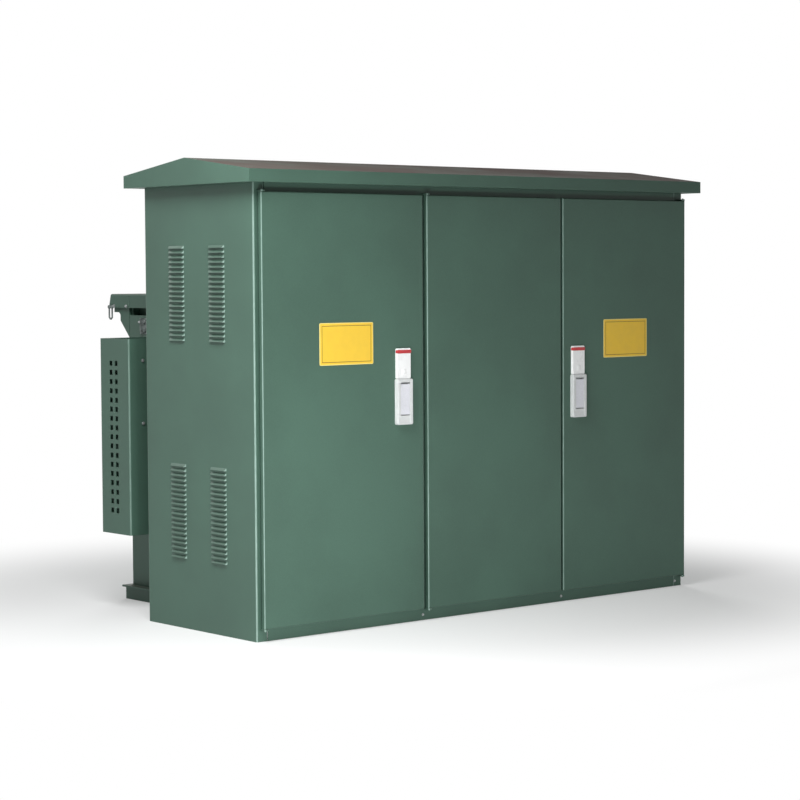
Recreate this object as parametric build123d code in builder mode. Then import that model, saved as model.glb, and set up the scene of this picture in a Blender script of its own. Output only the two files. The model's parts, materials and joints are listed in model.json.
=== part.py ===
from build123d import *
import os

# Power transformer for outdoor use: a sheet-metal cabinet with three doors and a low
# gabled roof in front, and the oil tank with its lid, radiators and guards behind it.
# Millimetres. X runs along the doors, Y goes back to the tank, Z is up.
# The origin is on the ground, in the middle of the whole length and width.

os.makedirs("parts", exist_ok=True)

# Cabinet
cabinet_width = 2300
cabinet_depth = 712
roof_underside = 1700
wall_sheet = 2.5
bend_radius = 8
post_width = 52
post_depth = 40
side_return = 24

# Doors, from left to right
left_margin = 18
left_door_width = 782
mullion_gap = 21
centre_door_width = 727
meeting_gap = 11
right_margin = 8
door_bottom = 48
door_top = 1667
door_sheet = 2
door_thickness = 18
door_gap = 8
door_lip = 22
door_edge_radius = 5
stiffener_width = 60
stiffener_depth = 12

# Door hinges
hinge_inset = 8
hinge_setback = 6
pin_radius = 4
pin_clearance = 0.05
pin_reach = 10
pin_block_height = 26
pin_block_width = 12
pin_block_depth = 10
tab_sheet = 6
tab_width = 18
tab_play = 0.3

# Lock rods behind the left and right doors
lock_case_width = 50
lock_case_height = 150
lock_case_depth = 12
rod_width = 16
rod_thickness = 4
rod_end_gap = 12
rod_guide_width = 30
rod_guide_height = 12
rod_guide_inset = 120

# Handles
handle_width = 69
handle_height = 295
handle_proud = 12
handle_corner = 4
handle_chamfer = 1.5
housing_width = 76
housing_height = 177
housing_proud = 20
left_handle_from_edge = 109
right_handle_from_edge = 79
left_handle_bottom = 779
right_handle_bottom = 765
pocket_width = 48
pocket_height = 156
pocket_depth = 16
pocket_rise = 8
keeper_height = 27
lever_clearance = 1.5
lever_gap = 3
lever_thickness = 7
lever_recess = 2
lever_edge_radius = 2.5
lever_pin_radius = 2.5
lever_pin_rise = 9
finger_gap = 7

# Louvres in the side walls
louvre_length = 100
louvre_height = 11
louvre_depth = 9
louvre_end_run = 6
louvre_rim = 1.5
louvre_pitch = 18.6
louvre_count = 20
louvre_rear_column = 495
louvre_front_column = 232
louvre_upper_bottom = 1109
louvre_lower_bottom = 272

# Roof
roof_side_overhang = 57
roof_front_overhang = 56
fascia_height = 48
ridge_rise = 55
roof_sheet = 2
roof_return = 30

# Cabinet frame
rail_depth = 50
rail_sheet = 3
mullion_width = 60
base_rail_height = 60
base_rail_width = 40
barrier_sheet = 2
tank_lap = 30

# Tank
tank_width = 1700
tank_depth = 568
tank_bottom = 60
tank_corner_radius = 6
neck_setback = 45
lid_underside = 1225
neck_height = 31
lid_height = 58
lid_side_overhang = 15
lid_rear_overhang = 137
lid_cut_run = 35
lid_cut_rise = 13
lid_lean = 12
lid_edge_radius = 8
lid_corner_radius = 12

# Tank base rails
tank_rail_inset = -20
tank_rail_flange_out = 19
tank_rail_width = 60
tank_rail_sheet = 7
tank_rail_overrun = 20

# Hooks and brackets at the tank's rear corners
hook_sheet = 12
hook_reach = 67
hook_drop = 124
hook_knee_drop = 54
hook_bay_radius = 16
hook_arm_reach = 113
hook_arm_depth = 19
bracket_width = 60
bracket_height = 66
bracket_drop = 11
bracket_sheet = 5
bracket_leg = 19
bracket_from_rear = 106
bracket_bolt_inset = 14
bolt_head_radius = 8
bolt_head_height = 7
bolt_head_sides = 6

# Shackles below the lid's rear corners
shackle_rod = 3.5
shackle_width = 22
shackle_height = 47
shackle_corner = 7
shackle_from_rear = 24
shackle_rod_sides = 8

# Radiators and their guards
guard_reach = 260
guard_length = 210
guard_from_cabinet = 183
guard_rise = 258
guard_drop = 87
guard_sheet = 2
guard_lip = 16
rear_guard_length = 1060
rear_guard_reach = 246
guard_slot_width = 20
guard_slot_height = 20
guard_slot_pitch = 37.2
guard_slot_rows = 17
guard_slot_columns = 2
guard_slot_column_pitch = 38
guard_slot_shift = 6
guard_slot_rise = 94.5
rear_slot_groups = 2
rear_slot_group_pitch = 520
panel_count = 4
panel_pitch = 50
panel_first = 50
panel_web = 4
flute_width = 60
flute_depth = 7
flute_taper = 25
flute_pitch = 86
flute_inset = 95
side_flutes = 2
rear_flutes = 5
panel_rise = 42
panel_drop = 47
header_radius = 24
header_sides = 8
header_inset = 45
rear_bank_offset = 260

# Bushings and fuse holders on the tank's front
bushing_flange_sheet = 12
bushing_flange_overhang = 12
bushing_flange_chamfer = 14
hv_bushing_count = 3
hv_bushing_pitch = 145
hv_bushing_from_side = 255
hv_bushing_drop = 234
hv_bushing_radius = 42
hv_bushing_length = 95
hv_nose_radius = 22
hv_nose_length = 35
lv_bushing_count = 4
lv_bushing_pitch = 210
lv_bushing_from_side = 450
lv_bushing_drop = 184
lv_bushing_radius = 36
lv_bushing_length = 70
lv_nose_radius = 16
lv_nose_length = 20
lv_flag_rise = 28
lv_flag_width = 50
lv_flag_height = 120
lv_flag_sheet = 10
lv_flag_chamfer = 8
fuse_holder_drop = 99
fuse_holder_radius = 20
fuse_holder_length = 85
fuse_grip_radius = 26
fuse_grip_length = 30
fuse_holder_sides = 12

# Places that follow from these sizes
total_depth = roof_front_overhang + cabinet_depth + tank_depth + rear_guard_reach
front_y = roof_front_overhang - total_depth / 2
rear_y = front_y + cabinet_depth
tank_rear_y = rear_y + tank_depth
half_width = cabinet_width / 2
half_tank = tank_width / 2
tank_top = lid_underside - neck_height
guard_bottom = tank_bottom + guard_rise
guard_top = tank_top - guard_drop
wall_top = roof_underside + roof_sheet
door_face_y = front_y - door_gap - door_thickness
door_height = door_top - door_bottom
right_door_width = (
    cabinet_width - left_margin - left_door_width - mullion_gap
    - centre_door_width - meeting_gap - right_margin
)
left_door_x = -half_width + left_margin
centre_door_x = left_door_x + left_door_width + mullion_gap
right_door_x = centre_door_x + centre_door_width + meeting_gap
mullion_x = centre_door_x - mullion_gap / 2
tab_hole_radius = pin_radius + pin_clearance


def save(piece, name):
    """Label a finished piece and write it under its own name."""
    piece.part.label = name
    export_step(piece.part, f"parts/{name}.step")


def louvre_form(start, rim):
    """Louvre hood tapering out of a sheet on top and at both ends, drawn in by the rim."""
    reach = start + louvre_depth - rim
    half_length = louvre_length / 2 - rim + start * louvre_end_run / louvre_depth
    with BuildPart() as form:
        with BuildSketch(Plane.XZ.offset(-half_length)):
            with BuildLine():
                Polyline(
                    (start, 0),
                    (start - reach, 0),
                    (start, reach * louvre_height / louvre_depth),
                    close=True,
                )
            make_face()
        extrude(amount=2 * half_length)
        for end in (-1, 1):
            slant = Plane((start, end * half_length, 0), z_dir=(-louvre_end_run, end * louvre_depth, 0))
            split(bisect_by=slant, keep=Keep.BOTTOM)
    return form


louvre_outer = louvre_form(0, 0)
louvre_inner = louvre_form(wall_sheet, louvre_rim)
louvre_places = [
    (-half_width, front_y + column, bottom + row * louvre_pitch)
    for column in (louvre_front_column, louvre_rear_column)
    for bottom in (louvre_lower_bottom, louvre_upper_bottom)
    for row in range(louvre_count)
]

# Side walls: one sheet each, folded round the front corner into a post and returned at the rear
with BuildPart() as left_wall:
    with BuildSketch(Plane.XY):
        with BuildLine():
            FilletPolyline(
                (-half_width + side_return, rear_y),
                (-half_width, rear_y),
                (-half_width, front_y),
                (-half_width + post_width, front_y),
                (-half_width + post_width, front_y + post_depth),
                radius=bend_radius,
            )
            offset(amount=wall_sheet, side=Side.LEFT)
        make_face()
    extrude(amount=wall_top)
    with Locations(*louvre_places):
        add(louvre_outer.part)
    with Locations(*louvre_places):
        add(louvre_inner.part, mode=Mode.SUBTRACT)
save(left_wall, "left_wall")

with BuildPart() as right_wall:
    mirror(left_wall.part, about=Plane.YZ)
save(right_wall, "right_wall")

# Rear sheets: beside and over the tank, lapped on its front
beside_tank = half_width - side_return - half_tank + tank_lap

with BuildPart() as rear_sheet_left:
    with BuildSketch(Plane.XZ.offset(-rear_y)):
        with Locations((-half_width + side_return, 0)):
            Rectangle(beside_tank, wall_top, align=(Align.MIN, Align.MIN))
    extrude(amount=wall_sheet)
save(rear_sheet_left, "rear_sheet_left")

with BuildPart() as rear_sheet_right:
    mirror(rear_sheet_left.part, about=Plane.YZ)
save(rear_sheet_right, "rear_sheet_right")

with BuildPart() as rear_sheet_top:
    with BuildSketch(Plane.XZ.offset(-rear_y)):
        with Locations((0, tank_top - tank_lap)):
            Rectangle(
                tank_width - 2 * tank_lap,
                wall_top - tank_top + tank_lap,
                align=(Align.CENTER, Align.MIN),
            )
    extrude(amount=wall_sheet)
save(rear_sheet_top, "rear_sheet_top")

# Front frame: header and sill channels between the posts, and the mullion between the two rooms
rail_length = cabinet_width - 2 * post_width


def front_rail(bottom, top):
    """Channel open to the rear, between the two corner posts."""
    with BuildPart() as rail:
        with BuildSketch(Plane.YZ.offset(-rail_length / 2)):
            with Locations((front_y + rail_depth / 2, (bottom + top) / 2)):
                Rectangle(rail_depth, top - bottom)
            with Locations((front_y + rail_depth / 2 + rail_sheet, (bottom + top) / 2)):
                Rectangle(rail_depth, top - bottom - 2 * rail_sheet, mode=Mode.SUBTRACT)
        extrude(amount=rail_length)
    return rail


header = front_rail(door_top, wall_top)
sill = front_rail(0, door_bottom)
save(header, "header")
save(sill, "sill")

# Hinge tabs stand out from the header and sill, with a round hole for each door's pin
left_hinge_x = left_door_x + hinge_inset
centre_hinge_x = centre_door_x + hinge_inset
right_hinge_x = right_door_x + right_door_width - hinge_inset
hinge_y = door_face_y + hinge_setback
hinge_places = [(x, hinge_y) for x in (left_hinge_x, centre_hinge_x, right_hinge_x)]


def hinge_tabs(bottom):
    """Three tabs in one row, their underside at the given height."""
    with BuildPart() as tabs:
        with BuildSketch(Plane.XY.offset(bottom)):
            with Locations(*hinge_places):
                Circle(tab_width / 2)
                Rectangle(tab_width, front_y - hinge_y, align=(Align.CENTER, Align.MIN))
                Circle(tab_hole_radius, mode=Mode.SUBTRACT)
        extrude(amount=tab_sheet)
    return tabs


save(hinge_tabs(door_top + tab_play), "upper_hinge_tabs")
save(hinge_tabs(door_bottom - tab_play - tab_sheet), "lower_hinge_tabs")

with BuildPart() as mullion:
    with BuildSketch(Plane.XY.offset(door_bottom)):
        with Locations((mullion_x, front_y + rail_depth / 2)):
            Rectangle(mullion_width, rail_depth)
            Rectangle(mullion_width - 2 * rail_sheet, rail_depth - 2 * rail_sheet, mode=Mode.SUBTRACT)
    extrude(amount=door_height)
save(mullion, "mullion")

# Barrier sheet between the high-voltage and low-voltage rooms
barrier_front = front_y + rail_depth
barrier_rear = rear_y - wall_sheet
with BuildPart() as barrier:
    with BuildSketch(Plane.XY):
        with Locations((mullion_x, (barrier_front + barrier_rear) / 2)):
            Rectangle(barrier_sheet, barrier_rear - barrier_front)
    extrude(amount=wall_top)
save(barrier, "barrier")

# Base rails inside the cabinet's side walls
side_rail_front = front_y + rail_depth
side_rail_rear = rear_y - wall_sheet - bend_radius


def side_base_rail():
    """Channel on the ground along the left wall, open towards the cable room."""
    inner = -half_width + wall_sheet
    with BuildPart() as rail:
        with BuildSketch(Plane.XZ.offset(-side_rail_rear)):
            with Locations((inner + base_rail_width / 2, base_rail_height / 2)):
                Rectangle(base_rail_width, base_rail_height)
            with Locations((inner + base_rail_width / 2 + rail_sheet, base_rail_height / 2)):
                Rectangle(base_rail_width, base_rail_height - 2 * rail_sheet, mode=Mode.SUBTRACT)
        extrude(amount=side_rail_rear - side_rail_front)
    return rail


base_rail_left = side_base_rail()
save(base_rail_left, "base_rail_left")
with BuildPart() as base_rail_right:
    mirror(base_rail_left.part, about=Plane.YZ)
save(base_rail_right, "base_rail_right")

# Roof: gabled sheet cover with a fascia all round and a narrow return, on a flat closing sheet
roof_half_length = half_width + roof_side_overhang
roof_depth = cabinet_depth + 2 * roof_front_overhang
roof_front = front_y - roof_front_overhang
roof_middle = roof_front + roof_depth / 2
fascia_top = roof_underside + fascia_height

with BuildPart() as roof:
    with BuildSketch(Plane.YZ.offset(-roof_half_length)):
        with BuildLine():
            Polyline(
                (roof_front, roof_underside),
                (roof_front, fascia_top),
                (roof_middle, fascia_top + ridge_rise),
                (roof_front + roof_depth, fascia_top),
                (roof_front + roof_depth, roof_underside),
                close=True,
            )
        make_face()
    extrude(amount=2 * roof_half_length)
    underside = roof.faces().sort_by(Axis.Z)[0]
    offset(amount=-roof_sheet, openings=underside, kind=Kind.INTERSECTION)
    with BuildSketch(Plane.XY.offset(roof_underside)):
        with Locations((0, roof_middle)):
            Rectangle(2 * roof_half_length, roof_depth)
            Rectangle(
                2 * roof_half_length - 2 * roof_return, roof_depth - 2 * roof_return, mode=Mode.SUBTRACT
            )
    extrude(amount=roof_sheet)
save(roof, "roof")

with BuildPart() as ceiling:
    with BuildSketch(Plane.XY.offset(wall_top)):
        with Locations((0, roof_middle)):
            Rectangle(2 * (roof_half_length - roof_sheet), roof_depth - 2 * roof_sheet)
    extrude(amount=roof_sheet)
save(ceiling, "ceiling")


# Doors: folded pans with a return lip, a stiffener and a pin at each end of the hinge edge
door_middle = (door_bottom + door_top) / 2


def make_door(x, width, hinge_x):
    """Door pan from x to x + width, pinned at hinge_x and stiffened down its middle."""
    middle = x + width / 2
    with BuildPart() as door:
        with BuildSketch(Plane.XZ.offset(-door_face_y)):
            with Locations((middle, door_middle)):
                Rectangle(width, door_height)
        extrude(amount=-door_thickness)
        fillet(door.faces().sort_by(Axis.Y)[0].edges(), door_edge_radius)
        back = door.faces().sort_by(Axis.Y)[-1]
        offset(amount=-door_sheet, openings=back)
        with BuildSketch(Plane.XZ.offset(-door_face_y - door_thickness)):
            with Locations((middle, door_middle)):
                Rectangle(width, door_height)
                Rectangle(width - 2 * door_lip, door_height - 2 * door_lip, mode=Mode.SUBTRACT)
        extrude(amount=door_sheet)
        with BuildSketch(Plane.XY.offset(door_bottom + door_lip)):
            with Locations((middle, door_face_y + door_sheet)):
                Rectangle(stiffener_width, stiffener_depth, align=(Align.CENTER, Align.MIN))
                Rectangle(
                    stiffener_width - 2 * door_sheet,
                    stiffener_depth - door_sheet,
                    align=(Align.CENTER, Align.MIN),
                    mode=Mode.SUBTRACT,
                )
        extrude(amount=door_height - 2 * door_lip)
        for z in (door_bottom, door_top - pin_block_height):
            with BuildSketch(Plane.XY.offset(z)):
                with Locations((hinge_x, door_face_y + door_sheet)):
                    Rectangle(pin_block_width, pin_block_depth, align=(Align.CENTER, Align.MIN))
            extrude(amount=pin_block_height)
        for z in (door_bottom - pin_reach, door_top - pin_block_height):
            with BuildSketch(Plane.XY.offset(z)):
                with Locations((hinge_x, hinge_y)):
                    Circle(pin_radius)
            extrude(amount=pin_reach + pin_block_height)
    return door


save(make_door(left_door_x, left_door_width, left_hinge_x), "left_door")
save(make_door(centre_door_x, centre_door_width, centre_hinge_x), "centre_door")
save(make_door(right_door_x, right_door_width, right_hinge_x), "right_door")


def make_lock_rods(x, case_middle):
    """Lock case on the inside of a door's sheet, with a drawn-back flat rod up and down from it."""
    inside = door_face_y + door_sheet
    rod_bottom = door_bottom + door_lip + rod_end_gap
    rod_top = door_top - door_lip - rod_end_gap
    with BuildPart() as rods:
        with BuildSketch(Plane.XZ.offset(-inside)):
            with Locations((x, case_middle)):
                Rectangle(lock_case_width, lock_case_height)
            with Locations((x, rod_bottom + rod_guide_inset), (x, rod_top - rod_guide_inset)):
                Rectangle(rod_guide_width, rod_guide_height)
        extrude(amount=-lock_case_depth)
        with BuildSketch(Plane.XZ.offset(-inside - (lock_case_depth - rod_thickness) / 2)):
            with Locations((x, (rod_bottom + rod_top) / 2)):
                Rectangle(rod_width, rod_top - rod_bottom)
        extrude(amount=-rod_thickness)
    return rods


# Handles: a housing with a pocket for the pull-out lever, and a flat cover above it
cover_height = handle_height - housing_height
lever_rise = pocket_rise + keeper_height + lever_gap
lever_width = pocket_width - 2 * lever_clearance
lever_height = pocket_rise + pocket_height - finger_gap - lever_rise
lever_front_y = door_face_y - housing_proud + lever_recess
lever_pin_y = lever_front_y + lever_pin_radius + pin_clearance
lever_pin_length = housing_width - 2 * handle_corner


def make_housing(x, bottom):
    """Housing on the door's face, centred on x, with a fixed keeper below the lever."""
    front = Plane.XZ.offset(-door_face_y + housing_proud)
    with BuildPart() as housing:
        with BuildSketch(Plane.XZ.offset(-door_face_y)):
            with Locations((x, bottom + housing_height / 2)):
                Rectangle(housing_width, housing_height)
            chamfer(vertices(), handle_corner)
        extrude(amount=housing_proud)
        chamfer(housing.faces().sort_by(Axis.Y)[0].edges(), handle_chamfer)
        with BuildSketch(front):
            with Locations((x, bottom + pocket_rise)):
                Rectangle(pocket_width, pocket_height, align=(Align.CENTER, Align.MIN))
        extrude(amount=-pocket_depth, mode=Mode.SUBTRACT)
        with BuildSketch(front.offset(-pocket_depth)):
            with Locations((x, bottom + pocket_rise)):
                Rectangle(pocket_width, keeper_height, align=(Align.CENTER, Align.MIN))
        extrude(amount=pocket_depth - lever_recess)
        with BuildSketch(Plane.YZ.offset(x - lever_pin_length / 2)):
            with Locations((lever_pin_y, bottom + lever_rise + lever_pin_rise)):
                Circle(lever_pin_radius + pin_clearance)
        extrude(amount=lever_pin_length, mode=Mode.SUBTRACT)
    return housing


def make_lever(x, bottom):
    """Flat lever in the pocket, turning on a pin at its lower end."""
    with BuildPart() as lever:
        with BuildSketch(Plane.XZ.offset(-lever_front_y)):
            with Locations((x, bottom + lever_rise)):
                Rectangle(lever_width, lever_height, align=(Align.CENTER, Align.MIN))
        extrude(amount=-lever_thickness)
        fillet(lever.edges().filter_by(Axis.X).group_by(Axis.Z)[0], lever_edge_radius)
        with BuildSketch(Plane.YZ.offset(x - lever_pin_length / 2)):
            with Locations((lever_pin_y, bottom + lever_rise + lever_pin_rise)):
                Circle(lever_pin_radius)
        extrude(amount=lever_pin_length)
    return lever


def make_cover(x, bottom):
    """Flat cover over the lock, standing on the door's face on top of the housing."""
    with BuildPart() as cover:
        with BuildSketch(Plane.XZ.offset(-door_face_y)):
            with Locations((x, bottom + housing_height + cover_height / 2)):
                Rectangle(handle_width, cover_height)
            chamfer(vertices(), handle_corner)
        extrude(amount=handle_proud)
        chamfer(cover.faces().sort_by(Axis.Y)[0].edges(), handle_chamfer)
    return cover


left_handle_x = left_door_x + left_door_width - left_handle_from_edge
right_handle_x = right_door_x + right_handle_from_edge
save(make_housing(left_handle_x, left_handle_bottom), "left_handle")
save(make_lever(left_handle_x, left_handle_bottom), "left_lever")
save(make_cover(left_handle_x, left_handle_bottom), "left_handle_cover")
save(make_lock_rods(left_handle_x, left_handle_bottom + housing_height / 2), "left_lock_rods")
save(make_housing(right_handle_x, right_handle_bottom), "right_handle")
save(make_lever(right_handle_x, right_handle_bottom), "right_lever")
save(make_cover(right_handle_x, right_handle_bottom), "right_handle_cover")
save(make_lock_rods(right_handle_x, right_handle_bottom + housing_height / 2), "right_lock_rods")

# Tank: a welded oil tank, modelled as one mass, with a set-back neck below its lid
with BuildPart() as tank:
    with BuildSketch(Plane.XY.offset(tank_bottom)):
        with Locations((0, rear_y + tank_depth / 2)):
            Rectangle(tank_width, tank_depth)
        fillet(vertices().group_by(Axis.Y)[-1], tank_corner_radius)
    extrude(amount=tank_top - tank_bottom)
save(tank, "tank")

with BuildPart() as tank_neck:
    with BuildSketch(Plane.XY.offset(tank_top)):
        with Locations((0, tank_rear_y)):
            Rectangle(
                tank_width - 2 * neck_setback, tank_depth - hook_sheet, align=(Align.CENTER, Align.MAX)
            )
            Rectangle(tank_width - 2 * hook_sheet, hook_sheet, align=(Align.CENTER, Align.MAX))
    extrude(amount=lid_underside - tank_top)
save(tank_neck, "tank_neck")

# Lid: overhangs the tank at the rear, where it leans in and its lower edge is cut off at a slant
lid_rear = tank_rear_y + lid_rear_overhang
half_lid = half_tank + lid_side_overhang
lid_top = lid_underside + lid_height
with BuildPart() as tank_lid:
    with BuildSketch(Plane.YZ.offset(-half_lid)):
        with BuildLine():
            Polyline(
                (rear_y, lid_underside),
                (lid_rear - lid_cut_run, lid_underside),
                (lid_rear, lid_underside + lid_cut_rise),
                (lid_rear - lid_lean, lid_top),
                (rear_y, lid_top),
                close=True,
            )
        make_face()
    extrude(amount=2 * half_lid)
    sides = tank_lid.faces().filter_by(Axis.X)
    fillet([side.edges().sort_by(Axis.Y)[-1] for side in sides], lid_corner_radius)
    fillet(tank_lid.faces().sort_by(Axis.Z)[-1].edges(), lid_edge_radius)
save(tank_lid, "tank_lid")

# Tank base rails on the ground, with an upper flange that stands out beyond the tank
tank_rail_outer = -half_tank + tank_rail_inset


def tank_rail():
    """Rail under the tank's left edge, running back past the tank."""
    with BuildPart() as rail:
        with BuildSketch(Plane.XZ.offset(-tank_rear_y - tank_rail_overrun)):
            with Locations((tank_rail_outer, 0)):
                Rectangle(tank_rail_width, tank_bottom, align=(Align.MIN, Align.MIN))
            with Locations((tank_rail_outer + tank_rail_sheet, tank_rail_sheet)):
                Rectangle(
                    tank_rail_width,
                    tank_bottom - 2 * tank_rail_sheet,
                    align=(Align.MIN, Align.MIN),
                    mode=Mode.SUBTRACT,
                )
            with Locations((tank_rail_outer - tank_rail_flange_out, tank_bottom - tank_rail_sheet)):
                Rectangle(
                    tank_rail_flange_out + tank_rail_sheet, tank_rail_sheet, align=(Align.MIN, Align.MIN)
                )
        extrude(amount=tank_depth + tank_rail_overrun)
    return rail


tank_rail_left = tank_rail()
save(tank_rail_left, "tank_rail_left")
with BuildPart() as tank_rail_right:
    mirror(tank_rail_left.part, about=Plane.YZ)
save(tank_rail_right, "tank_rail_right")

# Lifting hooks: gusset plates in line with the tank's sides, with an arm under the lid
with BuildPart() as left_hook:
    with BuildSketch(Plane.YZ.offset(-half_tank)):
        with BuildLine():
            low = Line(
                (tank_rear_y, lid_underside - hook_drop),
                (tank_rear_y + hook_reach, lid_underside - hook_knee_drop),
            )
            knee = Line(low @ 1, ((low @ 1).X, lid_underside - hook_arm_depth - hook_bay_radius))
            bay = JernArc(start=knee @ 1, tangent=(0, 1), radius=hook_bay_radius, arc_size=-90)
            arm = Line(bay @ 1, (tank_rear_y + hook_arm_reach, (bay @ 1).Y))
            end = Line(arm @ 1, ((arm @ 1).X, lid_underside))
            over = Line(end @ 1, (tank_rear_y, lid_underside))
            Line(over @ 1, low @ 0)
        make_face()
    extrude(amount=hook_sheet)
with BuildPart() as lifting_hooks:
    add(left_hook.part)
    mirror(left_hook.part, about=Plane.YZ)
save(lifting_hooks, "lifting_hooks")

# Angle brackets bolted to the tank's sides near the lid
bracket_y = tank_rear_y - bracket_from_rear
bracket_top = tank_top - bracket_drop
bolt_heights = (bracket_top - bracket_bolt_inset, bracket_top - bracket_height + bracket_bolt_inset)
with BuildPart() as left_bracket:
    with BuildSketch(Plane.XY.offset(bracket_top - bracket_height)):
        with Locations((-half_tank, bracket_y)):
            Rectangle(bracket_sheet, bracket_width, align=(Align.MAX, Align.MAX))
            Rectangle(bracket_leg, bracket_sheet, align=(Align.MAX, Align.MAX))
    extrude(amount=bracket_height)
    with BuildSketch(Plane.YZ.offset(-half_tank - bracket_sheet)):
        with Locations(*[(bracket_y - bracket_leg, z) for z in bolt_heights]):
            RegularPolygon(bolt_head_radius, bolt_head_sides)
    extrude(amount=-bolt_head_height)
with BuildPart() as tank_brackets:
    add(left_bracket.part)
    mirror(left_bracket.part, about=Plane.YZ)
save(tank_brackets, "tank_brackets")

# Shackles: a U of round rod hanging on two bolts in the lid's sides
shackle_y = lid_rear - shackle_from_rear
shackle_x = -half_lid - shackle_rod
shackle_top = lid_underside + shackle_rod
shackle_low = lid_underside - shackle_height
shackle_ends = (shackle_y - shackle_width / 2, shackle_y + shackle_width / 2)
with BuildPart() as left_shackle:
    with BuildLine(Plane.YZ.offset(shackle_x)):
        Polyline(
            (shackle_ends[0], shackle_top),
            (shackle_ends[0], shackle_low + shackle_corner),
            (shackle_ends[0] + shackle_corner, shackle_low),
            (shackle_ends[1] - shackle_corner, shackle_low),
            (shackle_ends[1], shackle_low + shackle_corner),
            (shackle_ends[1], shackle_top),
        )
    with BuildSketch(Plane(origin=(shackle_x, shackle_ends[0], shackle_top), z_dir=(0, 0, -1))):
        RegularPolygon(shackle_rod, shackle_rod_sides)
    sweep(transition=Transition.RIGHT)
    with BuildSketch(Plane.YZ.offset(-half_lid)):
        with Locations(*[(y, shackle_top) for y in shackle_ends]):
            RegularPolygon(bolt_head_radius, bolt_head_sides)
    extrude(amount=-2 * shackle_rod)
with BuildPart() as lid_shackles:
    add(left_shackle.part)
    mirror(left_shackle.part, about=Plane.YZ)
save(lid_shackles, "lid_shackles")

# Radiators: pressed panels with flutes on both sides, in a row on two header pipes
panel_bottom = guard_bottom + panel_rise
panel_top = guard_top - panel_drop
panel_middle = (panel_bottom + panel_top) / 2
panel_height = panel_top - panel_bottom
header_length = panel_first + (panel_count - 1) * panel_pitch


def radiator_bank(flutes):
    """Panels along -X on header pipes that start at the tank's face, which is at X = 0."""
    with BuildPart() as bank:
        for index in range(panel_count):
            panel_x = -panel_first - index * panel_pitch
            for side in (-1, 1):
                middle = Plane((panel_x, 0, panel_middle), x_dir=(0, 1, 0), z_dir=(side, 0, 0))
                with BuildSketch(middle):
                    Rectangle(flutes * flute_pitch, panel_height)
                extrude(amount=panel_web / 2)
                with BuildSketch(middle.offset(panel_web / 2)):
                    with GridLocations(flute_pitch, 0, flutes, 1):
                        Rectangle(flute_width, panel_height - 2 * flute_inset)
                extrude(amount=flute_depth, taper=flute_taper)
        with BuildSketch(Plane.YZ):
            with Locations((0, panel_bottom + header_inset), (0, panel_top - header_inset)):
                RegularPolygon(header_radius, header_sides)
        extrude(amount=-header_length)
    return bank


guard_front = rear_y + guard_from_cabinet
guard_middle = guard_front + guard_length / 2
side_bank = radiator_bank(side_flutes)
rear_bank = radiator_bank(rear_flutes)

with BuildPart() as left_radiator:
    with Locations((-half_tank, guard_middle)):
        add(side_bank.part)
save(left_radiator, "left_radiator")
with BuildPart() as right_radiator:
    mirror(left_radiator.part, about=Plane.YZ)
save(right_radiator, "right_radiator")

with BuildPart() as rear_radiator_left:
    with Locations(Location((-rear_bank_offset, tank_rear_y, 0), (0, 0, -90))):
        add(rear_bank.part)
save(rear_radiator_left, "rear_radiator_left")
with BuildPart() as rear_radiator_right:
    mirror(rear_radiator_left.part, about=Plane.YZ)
save(rear_radiator_right, "rear_radiator_right")

# Guards: folded sheets round the radiators, open above and below, with rows of slots outside
guard_height = guard_top - guard_bottom
slot_run = (guard_slot_rows - 1) * guard_slot_pitch
slot_middle = guard_bottom + guard_slot_rise + slot_run / 2

with BuildPart() as left_guard:
    with BuildSketch(Plane.XY.offset(guard_bottom)):
        with BuildLine():
            FilletPolyline(
                (-half_tank, guard_front),
                (-half_tank - guard_reach, guard_front),
                (-half_tank - guard_reach, guard_front + guard_length),
                (-half_tank, guard_front + guard_length),
                radius=bend_radius,
            )
            offset(amount=guard_sheet, side=Side.RIGHT)
        make_face()
    extrude(amount=guard_height)
    with BuildSketch(Plane.XY.offset(guard_top)):
        with Locations((-half_tank - guard_reach + guard_sheet, guard_middle)):
            Rectangle(guard_lip, guard_length - 2 * guard_sheet, align=(Align.MIN, Align.CENTER))
    extrude(amount=-guard_sheet)
    with BuildSketch(Plane.YZ.offset(-half_tank - guard_reach)):
        with Locations((guard_middle + guard_slot_shift, slot_middle)):
            with GridLocations(
                guard_slot_column_pitch, guard_slot_pitch, guard_slot_columns, guard_slot_rows
            ):
                Rectangle(guard_slot_width, guard_slot_height)
    extrude(amount=guard_sheet, mode=Mode.SUBTRACT)
save(left_guard, "left_guard")
with BuildPart() as right_guard:
    mirror(left_guard.part, about=Plane.YZ)
save(right_guard, "right_guard")

with BuildPart() as rear_guard:
    with BuildSketch(Plane.XY.offset(guard_bottom)):
        with BuildLine():
            FilletPolyline(
                (-rear_guard_length / 2, tank_rear_y),
                (-rear_guard_length / 2, tank_rear_y + rear_guard_reach),
                (rear_guard_length / 2, tank_rear_y + rear_guard_reach),
                (rear_guard_length / 2, tank_rear_y),
                radius=bend_radius,
            )
            offset(amount=guard_sheet, side=Side.RIGHT)
        make_face()
    extrude(amount=guard_height)
    with BuildSketch(Plane.XY.offset(guard_top)):
        with Locations((0, tank_rear_y + rear_guard_reach - guard_sheet)):
            Rectangle(rear_guard_length - 2 * guard_sheet, guard_lip, align=(Align.CENTER, Align.MAX))
    extrude(amount=-guard_sheet)
    with BuildSketch(Plane.XZ.offset(-tank_rear_y - rear_guard_reach)):
        with Locations((0, slot_middle)):
            with GridLocations(rear_slot_group_pitch, 0, rear_slot_groups, 1):
                with GridLocations(
                    guard_slot_column_pitch, guard_slot_pitch, guard_slot_columns, guard_slot_rows
                ):
                    Rectangle(guard_slot_width, guard_slot_height)
    extrude(amount=guard_sheet, mode=Mode.SUBTRACT)
save(rear_guard, "rear_guard")

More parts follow.
